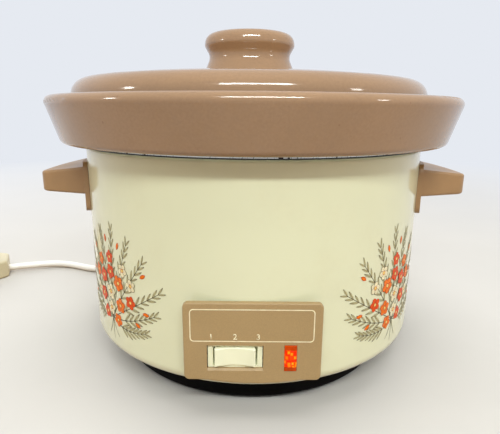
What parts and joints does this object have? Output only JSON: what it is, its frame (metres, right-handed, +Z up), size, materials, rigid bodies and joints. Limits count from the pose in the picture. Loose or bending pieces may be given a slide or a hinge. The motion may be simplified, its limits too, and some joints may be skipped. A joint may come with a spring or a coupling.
{
  "type": "slow cooker",
  "caption": "Round electric slow cooker: cream metal casing with side handles and front control panel, lift-out glazed stoneware crock and domed lid, mains lead with plug.",
  "frame": {"origin": "on the table under the middle of the casing", "axes": "+Z up; +X to the right along the line through both handles; the control panel faces -Y"},
  "size_m": [0.4666, 0.3806, 0.2309],
  "materials": {
    "casing_enamel": "glossy cream stove enamel",
    "liner_aluminium": "drawn aluminium",
    "stoneware_glaze": "milk-brown glossy glaze",
    "handle_phenolic": "satin tan-brown moulding",
    "panel_phenolic": "satin tan moulding with a printed cream frame",
    "switch_cream": "pale cream moulding",
    "switch_black": "black moulding",
    "neon_orange": "translucent orange moulding",
    "lamp_glass": "clear glass",
    "base_black": "black moulding",
    "foot_rubber": "black rubber",
    "steel": "zinc-plated steel",
    "brass": "plain brass",
    "mica": "mica sheet with heating wire",
    "block_white": "white moulding",
    "wire_brown": "brown insulation",
    "wire_blue": "blue insulation",
    "wire_earth": "green and yellow insulation",
    "wire_white": "glass-fibre sleeving",
    "cord_white": "white round flex",
    "plug_cream": "cream moulding",
    "tie_white": "white strap"
  },
  "bodies": {
    "cooker": {"outer_casing": "casing_enamel", "inner_liner": "liner_aluminium", "heating_element": "mica", "element_strap": "steel", "strap_screw": "steel", "left_handle": "handle_phenolic", "right_handle": "handle_phenolic", "handle_screws": "steel", "control_panel": "panel_phenolic", "panel_screws": "steel", "switch_bezel": "switch_cream", "rocker_pivot": "steel", "switch_body": "switch_black", "switch_blades": "brass", "neon_lens": "neon_orange", "neon_lamp": "lamp_glass", "neon_clip": "steel", "base_moulding": "base_black", "foot_screws": "steel", "centre_stud": "steel", "centre_nut": "steel", "thermostat": "switch_black", "thermostat_studs": "steel", "terminal_block": "block_white", "terminal_screws": "brass", "lead_cores": "wire_brown", "earth_tag": "brass", "earth_wire": "wire_earth", "live_wire": "wire_brown", "neutral_wire": "wire_blue", "element_leads": "wire_white", "cord_gland": "cord_white", "cord_lead": "cord_white", "cord_coil": "cord_white", "cord_tail": "cord_white", "coil_tie": "tie_white", "plug_cover": "plug_cream", "plug_base": "plug_cream", "plug_pins": "brass", "plug_screw": "steel", "foot_rear_right": "foot_rubber", "foot_rear_left": "foot_rubber", "foot_front_left": "foot_rubber", "foot_front_right": "foot_rubber"},
    "crock": {"crock": "stoneware_glaze"},
    "lid": {"lid": "stoneware_glaze"},
    "rocker": {"rocker": "switch_cream"}
  },
  "joints": [
    {"name": "crock_lift", "type": "slide", "parent": "cooker", "child": "crock", "axis": [0, 0, 1], "range_m": [0, 0.15]},
    {"name": "lid_lift", "type": "slide", "parent": "crock", "child": "lid", "axis": [0, 0, 1], "range_m": [0, 0.12]},
    {"name": "rocker_tilt", "type": "hinge", "parent": "cooker", "child": "rocker", "pos_m": [-0.0096, -0.1179, 0.0442], "axis": [0, 0, 1], "range_deg": [-10, 10]}
  ]
}
